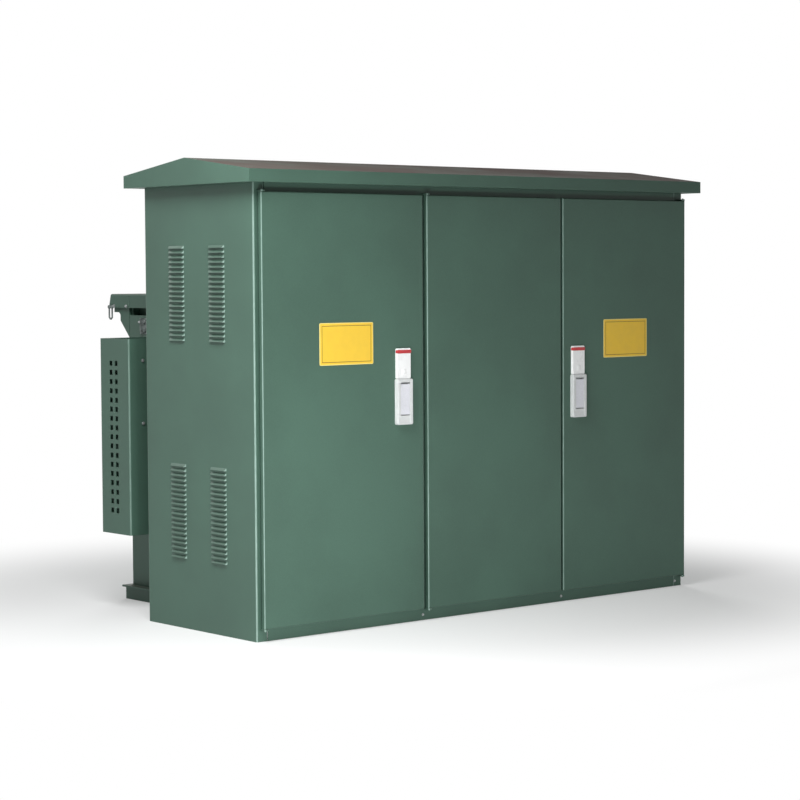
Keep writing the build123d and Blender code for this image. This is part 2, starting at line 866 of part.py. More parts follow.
# Bushings and fuse holders in rows on the tank's front, each turned about its own axis
hv_middle = -half_tank + hv_bushing_from_side
lv_middle = half_tank - lv_bushing_from_side
hv_places = [
    (hv_middle + (index - (hv_bushing_count - 1) / 2) * hv_bushing_pitch, rear_y, tank_top - hv_bushing_drop)
    for index in range(hv_bushing_count)
]
lv_places = [
    (lv_middle + (index - (lv_bushing_count - 1) / 2) * lv_bushing_pitch, rear_y, tank_top - lv_bushing_drop)
    for index in range(lv_bushing_count)
]
outwards = (90, 0, 0)


def make_bushing(radius, length, nose_radius, nose_length):
    """Square clamping flange, round body and thinner nose, standing up along Z."""
    flange_width = 2 * (radius + bushing_flange_overhang)
    with BuildPart() as bushing:
        with BuildSketch():
            Rectangle(flange_width, flange_width)
            chamfer(vertices(), bushing_flange_chamfer)
        extrude(amount=bushing_flange_sheet)
        with BuildSketch(Plane.XY.offset(bushing_flange_sheet)):
            Circle(radius)
        extrude(amount=length)
        with BuildSketch(Plane.XY.offset(bushing_flange_sheet + length)):
            Circle(nose_radius)
        extrude(amount=nose_length)
    return bushing


hv_bushing = make_bushing(hv_bushing_radius, hv_bushing_length, hv_nose_radius, hv_nose_length)
with BuildPart() as hv_bushings:
    with Locations(*[Location(place, outwards) for place in hv_places]):
        add(hv_bushing.part)
save(hv_bushings, "hv_bushings")

with BuildPart() as fuse_holder:
    with BuildSketch(Plane.XY):
        RegularPolygon(fuse_holder_radius, fuse_holder_sides)
    extrude(amount=fuse_holder_length)
    with BuildSketch(Plane.XY.offset(fuse_holder_length)):
        RegularPolygon(fuse_grip_radius, fuse_holder_sides)
    extrude(amount=fuse_grip_length)
with BuildPart() as fuse_holders:
    with Locations(*[Location((x, y, tank_top - fuse_holder_drop), outwards) for x, y, z in hv_places]):
        add(fuse_holder.part)
save(fuse_holders, "fuse_holders")

# Low-voltage bushings, with a flat terminal flag across the end of each
lv_bushing = make_bushing(lv_bushing_radius, lv_bushing_length, lv_nose_radius, lv_nose_length)
lv_bushing_end = bushing_flange_sheet + lv_bushing_length + lv_nose_length
with BuildPart() as lv_bushings:
    with Locations(*[Location(place, outwards) for place in lv_places]):
        add(lv_bushing.part)
save(lv_bushings, "lv_bushings")

with BuildPart() as lv_terminal:
    with BuildSketch(Plane.XY.offset(lv_bushing_end)):
        with Locations((0, lv_flag_rise)):
            Rectangle(lv_flag_width, lv_flag_height, align=(Align.CENTER, Align.MAX))
        chamfer(vertices(), lv_flag_chamfer)
    extrude(amount=lv_flag_sheet)
with BuildPart() as lv_terminals:
    with Locations(*[Location(place, outwards) for place in lv_places]):
        add(lv_terminal.part)
save(lv_terminals, "lv_terminals")
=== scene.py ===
# %% [markdown]
# # An outdoor power transformer
# The object is a green steel cabinet with three doors and a low gabled roof, and behind it an oil
# tank with radiators and slotted guards. Its solids are already made to size, so this lesson
# gives them a camera, light and paint, and adds the small things that are too fine for them.

# %% Load the solids
import json
import math

import bpy
from mathutils import Matrix, Vector


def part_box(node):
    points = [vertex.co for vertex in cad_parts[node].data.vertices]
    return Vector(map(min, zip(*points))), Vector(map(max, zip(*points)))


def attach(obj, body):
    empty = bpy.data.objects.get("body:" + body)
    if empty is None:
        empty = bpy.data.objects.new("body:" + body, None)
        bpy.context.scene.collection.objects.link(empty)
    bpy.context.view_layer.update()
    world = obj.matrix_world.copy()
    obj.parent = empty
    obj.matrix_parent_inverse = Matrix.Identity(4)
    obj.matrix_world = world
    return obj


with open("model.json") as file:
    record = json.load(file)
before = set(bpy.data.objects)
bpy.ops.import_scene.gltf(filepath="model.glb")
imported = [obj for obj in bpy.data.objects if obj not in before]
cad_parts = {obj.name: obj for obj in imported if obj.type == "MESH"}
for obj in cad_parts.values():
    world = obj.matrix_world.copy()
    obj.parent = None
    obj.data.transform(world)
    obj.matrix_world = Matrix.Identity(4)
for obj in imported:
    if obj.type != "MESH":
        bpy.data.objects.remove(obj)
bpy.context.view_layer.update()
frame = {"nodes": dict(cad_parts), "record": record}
solids = frame["nodes"]

# %% [markdown]
# ## Places on the object
# A finished piece sits on the solid that carries it, so it is placed from that solid's box, and
# only what the box can't give is typed. The cabinet's near corner is the one that the camera is
# measured from.

# %% Read the main places
wall_sheet = 0.0025
cabinet_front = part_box("left_wall")[0].y
cabinet_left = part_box("base_rail_left")[0].x - wall_sheet
cabinet_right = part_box("base_rail_right")[1].x + wall_sheet
print("cabinet from", round(cabinet_left, 3), "to", round(cabinet_right, 3), "m")

# %% [markdown]
# ## Camera
# The picture is taken from chest height, about seven metres in front of the near corner and five
# to its left, with a long lens, so the verticals stay almost parallel. The position is measured
# from that corner. The camera is built from three angles, turned about Z, tipped down and rolled
# a third of a degree, because a matrix from known directions needs no trial and error.

# %% Place the camera
camera_from_corner = Vector((-4.9857, -6.7304, 1.3668))
camera_turn = math.radians(40.195)
camera_tip = math.radians(3.214)
camera_roll = math.radians(-0.3346)
focal_length = 102.27

view_direction = Vector((
    math.sin(camera_turn) * math.cos(camera_tip),
    math.cos(camera_turn) * math.cos(camera_tip),
    -math.sin(camera_tip),
))
level_right = Vector((math.cos(camera_turn), -math.sin(camera_turn), 0))
level_up = level_right.cross(view_direction)
picture_right = level_right * math.cos(camera_roll) + level_up * math.sin(camera_roll)
picture_up = level_up * math.cos(camera_roll) - level_right * math.sin(camera_roll)

camera_data = bpy.data.cameras.new("camera")
camera_data.lens = focal_length
camera_data.sensor_width = 36
camera = bpy.data.objects.new("camera", camera_data)
bpy.context.collection.objects.link(camera)
camera_axes = Matrix((picture_right, picture_up, -view_direction)).transposed().to_4x4()
near_corner = Vector((cabinet_left, cabinet_front, 0))
camera.matrix_world = Matrix.Translation(near_corner + camera_from_corner) @ camera_axes
bpy.context.scene.camera = camera
bpy.context.scene.view_settings.view_transform = "Standard"
print("camera at", [round(value, 2) for value in camera.matrix_world.translation])

# %% [markdown]
# ## Small helpers for shader nodes
# Every finish below is a little network of nodes. Two helpers keep the lesson short: one adds a
# node and sets its plain values, the other joins two sockets. Three more make what is needed most
# often: a mix of two colours, a sum or product, and a value stretched to another range.


# %% Helpers for nodes
def add_node(tree, kind, **values):
    """Add a node; a value goes to the property or the input socket of that name."""
    new = tree.nodes.new(kind)
    for name, value in values.items():
        if hasattr(new, name):
            setattr(new, name, value)
        else:
            new.inputs[name.replace("_", " ")].default_value = value
    return new


def join(tree, output, socket):
    """Join an output to an input and return the output, so that it can be used again."""
    tree.links.new(output, socket)
    return output


print("node helpers ready")


# %% Helpers for colours and numbers
def mix_colour(tree, factor, first, second):
    """A colour mix whose three inputs may each be a socket or a plain value."""
    mix = add_node(tree, "ShaderNodeMix", data_type="RGBA")
    for socket, value in ((mix.inputs[0], factor), (mix.inputs[6], first), (mix.inputs[7], second)):
        if isinstance(value, bpy.types.NodeSocket):
            tree.links.new(value, socket)
        else:
            socket.default_value = value
    return mix.outputs[2]


def arithmetic(tree, operation, first, second=0.0):
    """A sum, product or the like, whose two inputs may each be a socket or a number."""
    node = add_node(tree, "ShaderNodeMath", operation=operation)
    for socket, value in ((node.inputs[0], first), (node.inputs[1], second)):
        if isinstance(value, bpy.types.NodeSocket):
            tree.links.new(value, socket)
        else:
            socket.default_value = value
    return node.outputs[0]


def remap(tree, value, low, high, new_low=0.0, new_high=1.0):
    """Stretch a value from one range to another, and clamp it there."""
    node = add_node(tree, "ShaderNodeMapRange", interpolation_type="SMOOTHSTEP")
    join(tree, value, node.inputs["Value"])
    limits = {"From Min": low, "From Max": high, "To Min": new_low, "To Max": new_high}
    for name, number in limits.items():
        node.inputs[name].default_value = number
    return node.outputs["Result"]


print("colour and number helpers ready")

# %% [markdown]
# ## Floor and background
# A studio floor is pale and runs into a white background with no line. The world shows white to
# the camera and in reflections, and lights the object more softly. The floor is a real surface
# near the object, so it takes the shadow, and fades to the background's white further out. A
# little of that white is there near the object too, or the shadow behind it would be black.

# %% Tell what sees the background
def seen_directly_or_mirrored(tree):
    """1 for the camera and for what is mirrored or seen through glass, 0 for light on the object."""
    ray = add_node(tree, "ShaderNodeLightPath")
    seen = arithmetic(tree, "MAXIMUM", ray.outputs["Is Camera Ray"], ray.outputs["Is Glossy Ray"])
    return arithmetic(tree, "MAXIMUM", seen, ray.outputs["Is Transmission Ray"])


print("background helper ready")

# %% Make the white world
world = bpy.data.worlds.new("studio")
bpy.context.scene.world = world
world.use_nodes = True
world_tree = world.node_tree
world_tree.nodes.clear()
fill_strength = 0.028
seen = seen_directly_or_mirrored(world_tree)
background = add_node(world_tree, "ShaderNodeBackground", Color=(1, 1, 1, 1))
join(world_tree, remap(world_tree, seen, 0, 1, fill_strength, 1), background.inputs["Strength"])
world_output = add_node(world_tree, "ShaderNodeOutputWorld")
join(world_tree, background.outputs[0], world_output.inputs["Surface"])
print("world fill", fill_strength)

# %% Lay the floor
floor_size = 60
bpy.ops.object.select_all(action="DESELECT")
bpy.ops.mesh.primitive_plane_add(size=floor_size)
floor = bpy.context.object
floor.name = "floor"
print("floor", floor_size, "m wide")

# %% Fade the floor to white
shadow_reach = 1.35
fade_reach = 2.7
white_near = 0.3
floor_colour = (0.86, 0.87, 0.87, 1)
floor_finish = bpy.data.materials.new("floor")
floor_finish.use_nodes = True
floor_tree = floor_finish.node_tree
floor_tree.nodes.clear()
place = add_node(floor_tree, "ShaderNodeTexCoord")
distance = add_node(floor_tree, "ShaderNodeVectorMath", operation="LENGTH")
join(floor_tree, place.outputs["Object"], distance.inputs[0])
fade = remap(floor_tree, distance.outputs["Value"], shadow_reach, fade_reach, white_near, 1)
fade = arithmetic(floor_tree, "MULTIPLY", fade, seen_directly_or_mirrored(floor_tree))
matt = add_node(floor_tree, "ShaderNodeBsdfDiffuse", Color=floor_colour)
white = add_node(floor_tree, "ShaderNodeEmission", Color=(1, 1, 1, 1), Strength=1)
blend = add_node(floor_tree, "ShaderNodeMixShader")
join(floor_tree, fade, blend.inputs[0])
join(floor_tree, matt.outputs[0], blend.inputs[1])
join(floor_tree, white.outputs[0], blend.inputs[2])
floor_output = add_node(floor_tree, "ShaderNodeOutputMaterial")
join(floor_tree, blend.outputs[0], floor_output.inputs["Surface"])
floor.data.materials.append(floor_finish)
print("floor fades to white between", shadow_reach, "and", fade_reach, "m")

# %% [markdown]
# ## Lamps
# In the picture the left wall and the left door are bright and the right door is darker, the foot
# of each is brighter than its top, and light comes up from the floor. So the key lamp hangs off
# the left front corner and points straight down, and most of its light reaches the doors from the
# floor. A low strip and a low bar help it at the foot, and a lamp behind the object lights the
# tops of the louvres. A last lamp at the rear right shows the sides that the picture doesn't. It
# stays below the roof, whose slope would mirror it. The camera doesn't see the lamps, and the
# paint doesn't mirror the two small ones near the floor, which would show as glaring spots.


# %% Hang the lamps
def hang_lamp(name, place, aim, size, power, height=None):
    """A soft lamp at a place, turned to face a point; square, or a bar of another height."""
    lamp_data = bpy.data.lights.new(name, "AREA")
    lamp_data.shape = "RECTANGLE"
    lamp_data.size = size
    lamp_data.size_y = height or size
    lamp_data.energy = power
    lamp = bpy.data.objects.new(name, lamp_data)
    bpy.context.collection.objects.link(lamp)
    turn = (Vector(aim) - Vector(place)).to_track_quat("-Z", "Y")
    lamp.matrix_world = Matrix.Translation(place) @ turn.to_matrix().to_4x4()
    lamp.visible_camera = False
    return lamp


hang_lamp("key_lamp", (-2.6, -1.6, 3.0), (-2.6, -1.61, 0), size=1.6, power=140)
foot_strip = hang_lamp("foot_strip", (-1.9, -2.4, 0.3), (-0.7, -0.7, 0.5), size=0.5, power=22)
foot_bar = hang_lamp("foot_bar", (0, -2.5, 0.3), (0, -0.7, 0.5), size=3.4, power=8, height=0.3)
for low_lamp in (foot_strip, foot_bar):
    low_lamp.visible_glossy = False
hang_lamp("back_lamp", (-2.2, 4.2, 4.6), (-1.1, -0.3, 1.0), size=2.5, power=38)
hang_lamp("rear_lamp", (2.6, 3.2, 0.9), (0.3, 0.4, 0.8), size=1.6, power=150)

# %% [markdown]
# ## Effects that several finishes share
# Powder coat is never quite flat: it has a fine orange peel, and folded steel catches light along
# its edges, which is painted in as a highlight that makes the colour paler along the folds. A fold
# faces neither straight ahead nor straight aside, so the product of its X and Y directions finds it.
# Outdoor steel also collects dust on what faces up, and a sprayed coat has faint clouds and specks.
# Each of these is one node group with named inputs, built once and placed in each paint with its
# own values.


# %% Start a group
def new_group(name, inputs, outputs):
    """An empty node group with number inputs and the outputs that are named with their kind."""
    group = bpy.data.node_groups.new(name, "ShaderNodeTree")
    for label, value in inputs.items():
        socket = group.interface.new_socket(label, in_out="INPUT", socket_type="NodeSocketFloat")
        socket.default_value = value
    for label, kind in outputs.items():
        group.interface.new_socket(label, in_out="OUTPUT", socket_type=kind)
    return group, add_node(group, "NodeGroupInput"), add_node(group, "NodeGroupOutput")


def noise(tree, vector, scale, detail=2.0, roughness=0.5):
    """Noise over a vector; scale is a number or a socket."""
    node = add_node(tree, "ShaderNodeTexNoise", Detail=detail, Roughness=roughness)
    join(tree, vector, node.inputs["Vector"])
    if isinstance(scale, bpy.types.NodeSocket):
        join(tree, scale, node.inputs["Scale"])
    else:
        node.inputs["Scale"].default_value = scale
    return node.outputs["Fac"]


print("group helpers ready")

# %% Orange peel and rounded edges
peel_group, peel_in, peel_out = new_group(
    "orange_peel",
    {"Scale": 160, "Depth": 0.35, "Edge Radius": 0.0015},
    {"Normal": "NodeSocketVector"},
)
peel_place = add_node(peel_group, "ShaderNodeTexCoord")
fine = noise(peel_group, peel_place.outputs["Object"], peel_in.outputs["Scale"], detail=3)
rounded = add_node(peel_group, "ShaderNodeBevel", samples=4)
join(peel_group, peel_in.outputs["Edge Radius"], rounded.inputs["Radius"])
peel_bump = add_node(peel_group, "ShaderNodeBump", Distance=0.0006)
join(peel_group, peel_in.outputs["Depth"], peel_bump.inputs["Strength"])
join(peel_group, fine, peel_bump.inputs["Height"])
join(peel_group, rounded.outputs["Normal"], peel_bump.inputs["Normal"])
join(peel_group, peel_bump.outputs["Normal"], peel_out.inputs["Normal"])
print("orange_peel:", len(peel_group.nodes), "nodes")

# %% Dust that settles on what faces up
dust_group, dust_in, dust_out = new_group(
    "settled_dust",
    {"Amount": 0.5, "Patch Scale": 3.0},
    {"Mask": "NodeSocketFloat"},
)
dust_place = add_node(dust_group, "ShaderNodeTexCoord")
facing = add_node(dust_group, "ShaderNodeSeparateXYZ")
join(dust_group, dust_place.outputs["Normal"], facing.inputs[0])
upward = remap(dust_group, facing.outputs["Z"], low=0.55, high=0.95)
patch_scale = dust_in.outputs["Patch Scale"]
patches = noise(dust_group, dust_place.outputs["Object"], patch_scale, detail=6, roughness=0.62)
patches = remap(dust_group, patches, low=0.25, high=0.7, new_low=0.55, new_high=1.0)
dust_mask = arithmetic(dust_group, "MULTIPLY", upward, patches)
dust_mask = arithmetic(dust_group, "MULTIPLY", dust_mask, dust_in.outputs["Amount"])
join(dust_group, dust_mask, dust_out.inputs["Mask"])
print("settled_dust:", len(dust_group.nodes), "nodes")

# %% Painted highlight along the vertical folds
highlight_group, highlight_in, highlight_out = new_group(
    "painted_fold_highlight",
    {"Amount": 1.0},
    {"Mask": "NodeSocketFloat"},
)
highlight_place = add_node(highlight_group, "ShaderNodeTexCoord")
highlight_facing = add_node(highlight_group, "ShaderNodeSeparateXYZ")
join(highlight_group, highlight_place.outputs["Normal"], highlight_facing.inputs[0])
slant = arithmetic(highlight_group, "MULTIPLY", highlight_facing.outputs["X"], highlight_facing.outputs["Y"])
on_fold = remap(highlight_group, arithmetic(highlight_group, "ABSOLUTE", slant), low=0.22, high=0.46)
highlight_breaks = noise(highlight_group, highlight_place.outputs["Object"], scale=14, detail=5, roughness=0.65)
highlight_breaks = remap(highlight_group, highlight_breaks, low=0.3, high=0.6, new_low=0.75, new_high=1.0)
highlight_mask = arithmetic(highlight_group, "MULTIPLY", on_fold, highlight_breaks)
highlight_mask = arithmetic(highlight_group, "MULTIPLY", highlight_mask, highlight_in.outputs["Amount"])
join(highlight_group, highlight_mask, highlight_out.inputs["Mask"])
print("painted_fold_highlight:", len(highlight_group.nodes), "nodes")

# %% Faint clouds in a sprayed coat
cloud_group, cloud_in, cloud_out = new_group(
    "spray_clouds",
    {"Cloud Scale": 2.2, "Speck Scale": 420},
    {"Clouds": "NodeSocketFloat", "Specks": "NodeSocketFloat"},
)
cloud_place = add_node(cloud_group, "ShaderNodeTexCoord")
cloud_scale = cloud_in.outputs["Cloud Scale"]
speck_scale = cloud_in.outputs["Speck Scale"]
clouds = noise(cloud_group, cloud_place.outputs["Object"], cloud_scale, detail=4, roughness=0.55)
specks = noise(cloud_group, cloud_place.outputs["Object"], speck_scale, detail=1)
join(cloud_group, remap(cloud_group, clouds, low=0.3, high=0.7), cloud_out.inputs["Clouds"])
join(cloud_group, remap(cloud_group, specks, low=0.35, high=0.65), cloud_out.inputs["Specks"])
print("spray_clouds:", len(cloud_group.nodes), "nodes")

# %% [markdown]
# ## Green paint
# The same green covers the cabinet, the roof and the tank. On the cabinet it is a powder coat
# with a soft gloss, on the tank a sprayed enamel with a little more unevenness, and on the roof's
# slopes it is dull and turns brown where it faces up. One function makes all three, so that they
# stay the same green, and its arguments say how they differ.


# %% Helpers for materials
def new_material(name):
    """An empty material with its output and one Principled shader."""
    material = bpy.data.materials.new(name)
    material.use_nodes = True
    tree = material.node_tree
    tree.nodes.clear()
    shader = add_node(tree, "ShaderNodeBsdfPrincipled")
    output = add_node(tree, "ShaderNodeOutputMaterial")
    join(tree, shader.outputs[0], output.inputs["Surface"])
    return material, tree, shader


def place_group(tree, group, **values):
    """Place a shared effect in a material with its own values."""
    placed = add_node(tree, "ShaderNodeGroup", node_tree=group)
    for label, value in values.items():
        placed.inputs[label.replace("_", " ")].default_value = value
    return placed


def shade(colour, factor):
    """The colour made deeper or paler, and opaque."""
    return (*(min(1, channel * factor) for channel in colour), 1)


print("material helpers ready")

# %% Choose the colours of the coat
paint_green = (0.060, 0.117, 0.088)
# The paler green along the folds is a painted highlight.
highlight_green = (0.24, 0.34, 0.30)
dust_brown = (0.150, 0.132, 0.112)
roof_brown = (0.086, 0.060, 0.053)
deeper_cloud = 0.92
paler_cloud = 1.10
paler_speck = 1.9
speck_share = 0.10
smoother_cloud = 0.03
rougher_cloud = 0.04
dust_roughness = 0.5
print("green", paint_green, "rubbed to", highlight_green)


# %% Make the green paints
def green_paint(name, roughness, specular, edge_radius, highlight_amount, dust_amount, dust_colour):
    """Green coat with orange peel, spray clouds, specks, a painted fold highlight and settled dust."""
    material, tree, shader = new_material(name)
    spray = place_group(tree, cloud_group)
    clouds = spray.outputs["Clouds"]
    deeper = shade(paint_green, deeper_cloud)
    colour = mix_colour(tree, clouds, deeper, shade(paint_green, paler_cloud))
    speck = arithmetic(tree, "MULTIPLY", spray.outputs["Specks"], speck_share)
    colour = mix_colour(tree, speck, colour, shade(paint_green, paler_speck))
    # A paler green along the folds paints the highlight that they catch.
    highlighted = place_group(tree, highlight_group, Amount=highlight_amount)
    colour = mix_colour(tree, highlighted.outputs["Mask"], colour, shade(highlight_green, 1))
    dust = place_group(tree, dust_group, Amount=dust_amount)
    colour = mix_colour(tree, dust.outputs["Mask"], colour, shade(dust_colour, 1))
    join(tree, colour, shader.inputs["Base Color"])
    coat = remap(tree, clouds, 0, 1, roughness - smoother_cloud, roughness + rougher_cloud)
    dusty = arithmetic(tree, "MULTIPLY", dust.outputs["Mask"], dust_roughness)
    join(tree, arithmetic(tree, "ADD", coat, dusty), shader.inputs["Roughness"])
    peel = place_group(tree, peel_group, Edge_Radius=edge_radius)
    join(tree, peel.outputs["Normal"], shader.inputs["Normal"])
    shader.inputs["Specular IOR Level"].default_value = specular
    return material


# Each paint sets its own strength of the painted highlight along the folds.
cabinet_paint = green_paint(
    "cabinet_paint", roughness=0.36, specular=0.25, edge_radius=0.002, highlight_amount=0.95,
    dust_amount=0.25, dust_colour=dust_brown,
)
# The roof's slopes turn brown where they face up.
roof_paint = green_paint(
    "roof_paint", roughness=0.40, specular=0.24, edge_radius=0.0018, highlight_amount=0.5,
    dust_amount=1.0, dust_colour=roof_brown,
)
tank_paint = green_paint(
    "tank_paint", roughness=0.40, specular=0.25, edge_radius=0.003, highlight_amount=0.6,
    dust_amount=0.45, dust_colour=dust_brown,
)
print("paints:", cabinet_paint.name, roof_paint.name, tank_paint.name)

# %% [markdown]
# ## Bare metal, plastic and resin
# The zinc on the brackets, shackles and lock rods is dull and blotchy, and the bolts' is a little
# paler. The handles are smooth white plastic over a satin grey casting. Inside, the bushings are
# dark cast resin and pale glaze, and the terminals tinned copper. One function makes them all: a
# noise stirs the colour and the roughness.


# %% Make a plain finish
roughness_spread = 0.15
peel_fineness = 4
small_edge_radius = 0.0008


def plain_finish(name, colour, variation, roughness, grain_scale, bump=0.1, metallic=0.0, specular=0.5):
    """A finish with a slight noise in its colour, roughness and surface."""
    material, tree, shader = new_material(name)
    place = add_node(tree, "ShaderNodeTexCoord")
    blotches = noise(tree, place.outputs["Object"], grain_scale, detail=4, roughness=0.6)
    blotches = remap(tree, blotches, low=0.3, high=0.7)
    dark = shade(colour, 1 - variation)
    pale = shade(colour, 1 + variation)
    join(tree, mix_colour(tree, blotches, dark, pale), shader.inputs["Base Color"])
    smoother = roughness * (1 - roughness_spread)
    rougher = roughness * (1 + roughness_spread)
    join(tree, remap(tree, blotches, 0, 1, smoother, rougher), shader.inputs["Roughness"])
    shader.inputs["Metallic"].default_value = metallic
    shader.inputs["Specular IOR Level"].default_value = specular
    peel = place_group(tree, peel_group, Depth=bump, Edge_Radius=small_edge_radius)
    peel.inputs["Scale"].default_value = grain_scale * peel_fineness
    join(tree, peel.outputs["Normal"], shader.inputs["Normal"])
    return material


print("plain finish ready")

# %% Make the metals
galvanised_steel = plain_finish(
    "galvanised_steel", (0.19, 0.215, 0.21), variation=0.5, roughness=0.6, grain_scale=60,
    bump=0.3, specular=0.3,
)
bolt_zinc = plain_finish(
    "bolt_zinc", (0.34, 0.36, 0.36), variation=0.3, roughness=0.42, grain_scale=80, metallic=0.6,
)
handle_metal = plain_finish(
    "handle_metal", (0.72, 0.73, 0.78), variation=0.04, roughness=0.4, grain_scale=200, bump=0.15,
)
tinned_copper = plain_finish(
    "tinned_copper", (0.66, 0.63, 0.60), variation=0.08, roughness=0.32, grain_scale=120,
    bump=0.15, metallic=0.95,
)
print("metals:", galvanised_steel.name, bolt_zinc.name, handle_metal.name, tinned_copper.name)

# %% Make the plastics and resins
handle_cover = plain_finish(
    "handle_cover", (0.91, 0.92, 0.92), variation=0.015, roughness=0.3, grain_scale=30, bump=0.05,
)
handle_housing = plain_finish(
    "handle_housing", (0.65, 0.67, 0.67), variation=0.03, roughness=0.42, grain_scale=120,
)
bushing_resin = plain_finish(
    "bushing_resin", (0.12, 0.045, 0.03), variation=0.08, roughness=0.25, grain_scale=40, bump=0.05,
)
bushing_glaze = plain_finish(
    "bushing_glaze", (0.70, 0.68, 0.62), variation=0.04, roughness=0.18, grain_scale=20, bump=0.04,
)
print("finishes:", len(bpy.data.materials))

# %% [markdown]
# ## Painting the solids
# The record names a material slot for each solid. Each solid keeps its own mesh and only gets
# the finish of its slot.

# %% Give every solid its finish
finish_of_slot = {
    "cabinet_paint": cabinet_paint,
    "roof_paint": roof_paint,
    "tank_paint": tank_paint,
    "galvanised_steel": galvanised_steel,
    "handle_cover": handle_cover,
    "handle_housing": handle_housing,
    "handle_metal": handle_metal,
    "bushing_resin": bushing_resin,
    "bushing_glaze": bushing_glaze,
    "tinned_copper": tinned_copper,
}
slot_of_solid = {part["node"]: part["material_slot"] for part in frame["record"]["subparts"]}
for name, solid in solids.items():
    solid.data.materials.clear()
    solid.data.materials.append(finish_of_slot[slot_of_solid[name]])
print("painted", len(solids), "solids")

# %% [markdown]
# ## Making small pieces
# The plates, bolts and bands are too fine for the solids. Each starts as a plain form, whose place
# and turn go into its mesh at once. Most are then worked: edges are bevelled, faces are inset and
# given another finish. At the end each is handed to the body that it moves with.


# %% Start a piece
def start_box(name, low, high):
    """A box between two corners, as the object that is worked on."""
    bpy.ops.object.select_all(action="DESELECT")
    middle = (Vector(low) + Vector(high)) / 2
    bpy.ops.mesh.primitive_cube_add(size=1, location=middle)
    piece = bpy.context.object
    piece.name = name
    piece.scale = Vector(high) - Vector(low)
    bpy.ops.object.transform_apply(location=True, rotation=True, scale=True)
    return piece


def start_round(name, place, outward, radius, depth, sides):
    """A round or cornered bar that stands on a place and points outward."""
    bpy.ops.object.select_all(action="DESELECT")
    direction = Vector(outward).normalized()
    turn = direction.to_track_quat("Z", "Y").to_euler()
    middle = Vector(place) + direction * depth / 2
    bpy.ops.mesh.primitive_cylinder_add(
        vertices=sides, radius=radius, depth=depth, location=middle, rotation=turn
    )
    piece = bpy.context.object
    piece.name = name
    bpy.ops.object.transform_apply(location=True, rotation=True, scale=True)
    return piece


def start_sheet(name, place, width, height):
    """A flat sheet that faces the front."""
    bpy.ops.object.select_all(action="DESELECT")
    bpy.ops.mesh.primitive_plane_add(size=1, location=place, rotation=(math.radians(90), 0, 0))
    sheet = bpy.context.object
    sheet.name = name
    sheet.scale = (width, height, 1)
    bpy.ops.object.transform_apply(location=True, rotation=True, scale=True)
    return sheet


print("box, round and sheet ready")


# %% Work and finish a piece
smooth_below = math.radians(35)


def pick(piece):
    """Select one piece alone and make it the active one."""
    bpy.ops.object.select_all(action="DESELECT")
    piece.select_set(True)
    bpy.context.view_layer.objects.active = piece


def round_edges(piece, width, segments=2):
    """Bevel every sharp edge of the piece."""
    bevel = piece.modifiers.new("bevel", "BEVEL")
    bevel.width = width
    bevel.segments = segments
    bevel.limit_method = "ANGLE"
    pick(piece)
    bpy.ops.object.modifier_apply(modifier="bevel")


def join_pieces(name, parts):
    """Make several pieces one."""
    pick(parts[0])
    for part in parts:
        part.select_set(True)
    bpy.ops.object.join()
    parts[0].name = name
    return parts[0]


def hand_over(piece, body, finishes=()):
    """Give a piece its finish, smooth its round faces and let it move with a body."""
    if finishes:
        piece.data.materials.clear()
        for finish in finishes:
            piece.data.materials.append(finish)
    pick(piece)
    bpy.ops.object.shade_smooth_by_angle(angle=smooth_below)
    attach(piece, body)
    return piece


print("work helpers ready")

# %% [markdown]
# ## Yellow plates
# Two plates of yellow sheet are fixed on the outer doors. They are bare here: a paler rim, which is
# a painted highlight along the plate's edge, yellow inside it and a thin brown line near the edge.
# The rim is the ring that an inset leaves, and only the face inside it gets the yellow. The line is a
# ring of its own, just in front of the plate.


# %% Finishes of the plates
plate_yellow = plain_finish(
    "plate_yellow", (0.84, 0.55, 0.05), variation=0.02, roughness=0.42, grain_scale=25, bump=0.05,
)
# The paler yellow of the rim is a painted highlight along the plate's edge.
plate_rim_highlight = plain_finish(
    "plate_rim_highlight", (0.88, 0.74, 0.26), variation=0.02, roughness=0.4, grain_scale=25, bump=0.05,
)
plate_line = plain_finish(
    "plate_line", (0.22, 0.12, 0.025), variation=0.05, roughness=0.5, grain_scale=25, bump=0.05,
)
print("plate finishes:", plate_yellow.name, plate_rim_highlight.name, plate_line.name)

# %% Draw a border line
line_inset = 0.0105
line_width = 0.0021
line_gap = 0.0002


def border_line(place, width, height):
    """A flat ring just in front of a plate: a sheet is inset and its middle is taken out."""
    in_front = Vector(place) - Vector((0, line_gap, 0))
    line = start_sheet("line", in_front, width - 2 * line_inset, height - 2 * line_inset)
    line.data.materials.append(plate_line)
    bpy.ops.object.mode_set(mode="EDIT")
    bpy.ops.mesh.select_all(action="SELECT")
    bpy.ops.mesh.inset(thickness=line_width)
    bpy.ops.mesh.delete(type="FACE")
    bpy.ops.object.mode_set(mode="OBJECT")
    return line


print("border line", line_width, "m wide")

# %% Make the plates
plate_thickness = 0.0016
corner_radius = 0.005
rim_width = 0.0026


